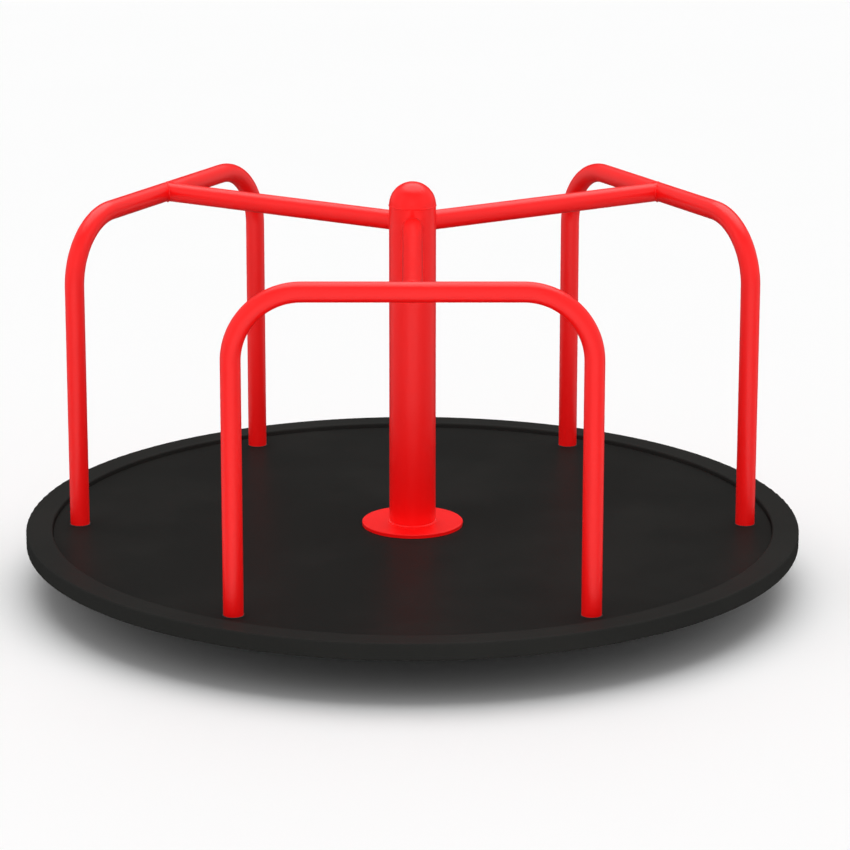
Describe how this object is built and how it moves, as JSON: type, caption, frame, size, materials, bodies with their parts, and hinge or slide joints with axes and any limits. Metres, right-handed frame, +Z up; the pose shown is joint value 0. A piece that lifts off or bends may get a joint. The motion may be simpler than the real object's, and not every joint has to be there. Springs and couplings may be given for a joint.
{
  "type": "playground merry-go-round",
  "caption": "Playground merry-go-round: a black round platform on a fixed spindle, with red tube handrail hoops joined by level spokes to a domed red centre column.",
  "frame": {"origin": "centre of the ground plate's underside, on the ground and on the axis of spin", "axes": "+Z up along the axis of spin; handrail 1 faces -Y, handrails 2 and 3 face 30 and 150 degrees counter-clockwise from +X"},
  "size_m": [1.6998, 1.6998, 0.8925],
  "materials": {
    "rail_red": "gloss",
    "column_red": "gloss",
    "rim_black": "satin",
    "deck_black": "satin",
    "frame_black": "satin",
    "galvanised_steel": "dull",
    "machined_steel": "turned",
    "zinc_plate": "satin",
    "bearing_steel": "ground",
    "pressed_steel": "satin",
    "brass_cage": "satin",
    "brass_fitting": "satin",
    "seal_rubber": "matte"
  },
  "bodies": {
    "base": {"ground_plate": "galvanised_steel", "spindle_gussets": "galvanised_steel", "spindle": "machined_steel", "spindle_lock_washer": "zinc_plate", "spindle_lock_nut": "zinc_plate", "lower_bearing_cone": "bearing_steel", "upper_bearing_inner_race": "bearing_steel"},
    "platform": {"rim": "rim_black", "deck": "deck_black", "arm_1": "frame_black", "arm_2": "frame_black", "arm_3": "frame_black", "arm_4": "frame_black", "arm_5": "frame_black", "arm_6": "frame_black", "arm_end_plates": "frame_black", "deck_edge_ledges": "frame_black", "deck_middle_bars": "frame_black", "deck_studs": "zinc_plate", "deck_washers": "zinc_plate", "deck_nuts": "zinc_plate", "hub_barrel": "frame_black", "hub_flange": "frame_black", "hub_seal": "seal_rubber", "grease_nipple": "brass_fitting", "lower_bearing_cup": "bearing_steel", "upper_bearing_outer_race": "bearing_steel", "upper_bearing_housing": "frame_black", "upper_bearing_circlip": "zinc_plate", "column": "column_red", "column_flange": "column_red", "column_dome": "column_red", "column_studs": "zinc_plate", "column_washers": "zinc_plate", "column_nuts": "zinc_plate", "handrail_1": "rail_red", "handrail_2": "rail_red", "handrail_3": "rail_red", "spoke_1": "rail_red", "spoke_2": "rail_red", "spoke_3": "rail_red", "leg_plugs": "frame_black", "leg_washers": "zinc_plate", "leg_bolts": "zinc_plate"},
    "lower_cage": {"lower_bearing_rollers": "bearing_steel", "lower_bearing_cage": "pressed_steel"},
    "upper_cage": {"upper_bearing_balls": "bearing_steel", "upper_bearing_cage": "brass_cage"}
  },
  "joints": [
    {"name": "platform_spin", "type": "hinge", "parent": "base", "child": "platform", "pos_m": [0, 0, 0.08], "axis": [0, 0, 1], "continuous": true},
    {"name": "lower_cage_spin", "type": "hinge", "parent": "base", "child": "lower_cage", "pos_m": [0, 0, 0.08], "axis": [0, 0, 1], "continuous": true},
    {"name": "upper_cage_spin", "type": "hinge", "parent": "base", "child": "upper_cage", "pos_m": [0, 0, 0.65], "axis": [0, 0, 1], "continuous": true}
  ],
  "couplings": [
    {"joint": "lower_cage_spin", "follows": "platform_spin", "ratio": 0.573},
    {"joint": "upper_cage_spin", "follows": "platform_spin", "ratio": 0.6}
  ]
}
